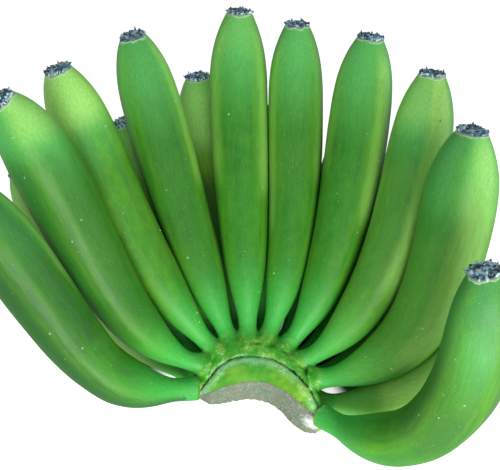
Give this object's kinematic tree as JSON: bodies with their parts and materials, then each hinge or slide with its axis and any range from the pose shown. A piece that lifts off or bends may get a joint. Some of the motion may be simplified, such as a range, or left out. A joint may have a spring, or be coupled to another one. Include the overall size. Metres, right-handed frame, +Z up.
{
  "type": "hand of green bananas",
  "caption": "Hand of unripe green bananas lying on its back: a cut crown with two rows of curved ridged fingers and dried flower ends.",
  "frame": {"origin": "middle of the hand's footprint, on the surface that it lies on", "axes": "+X across the hand, +Y from the crown to the tips, +Z up, the way the tips turn"},
  "size_m": [0.3018, 0.2622, 0.1676],
  "materials": {
    "green_peel": "waxy unripe peel, green to yellow-green, with fine lengthwise streaks",
    "crown_green": "moist green cushion with a brown scar line and a tan fibrous cut face",
    "dried_flower": "dry shrivelled tissue, blue-black and grey"
  },
  "bodies": {
    "root": {"crown": "crown_green", "finger_front_01": "green_peel", "finger_front_02": "green_peel", "finger_front_03": "green_peel", "finger_front_04": "green_peel", "finger_front_05": "green_peel", "finger_front_06": "green_peel", "finger_front_07": "green_peel", "finger_front_08": "green_peel", "finger_front_09": "green_peel", "finger_front_10": "green_peel", "finger_back_01": "green_peel", "finger_back_02": "green_peel", "finger_back_03": "green_peel", "finger_back_04": "green_peel", "finger_back_05": "green_peel", "finger_back_06": "green_peel", "finger_back_07": "green_peel", "finger_back_08": "green_peel", "finger_back_09": "green_peel", "blossom_end_front_01": "dried_flower", "blossom_end_front_02": "dried_flower", "blossom_end_front_03": "dried_flower", "blossom_end_front_04": "dried_flower", "blossom_end_front_05": "dried_flower", "blossom_end_front_06": "dried_flower", "blossom_end_front_07": "dried_flower", "blossom_end_front_08": "dried_flower", "blossom_end_front_09": "dried_flower", "blossom_end_front_10": "dried_flower", "blossom_end_back_01": "dried_flower", "blossom_end_back_02": "dried_flower", "blossom_end_back_03": "dried_flower", "blossom_end_back_04": "dried_flower", "blossom_end_back_05": "dried_flower", "blossom_end_back_06": "dried_flower", "blossom_end_back_07": "dried_flower", "blossom_end_back_08": "dried_flower", "blossom_end_back_09": "dried_flower"}
  },
  "joints": []
}
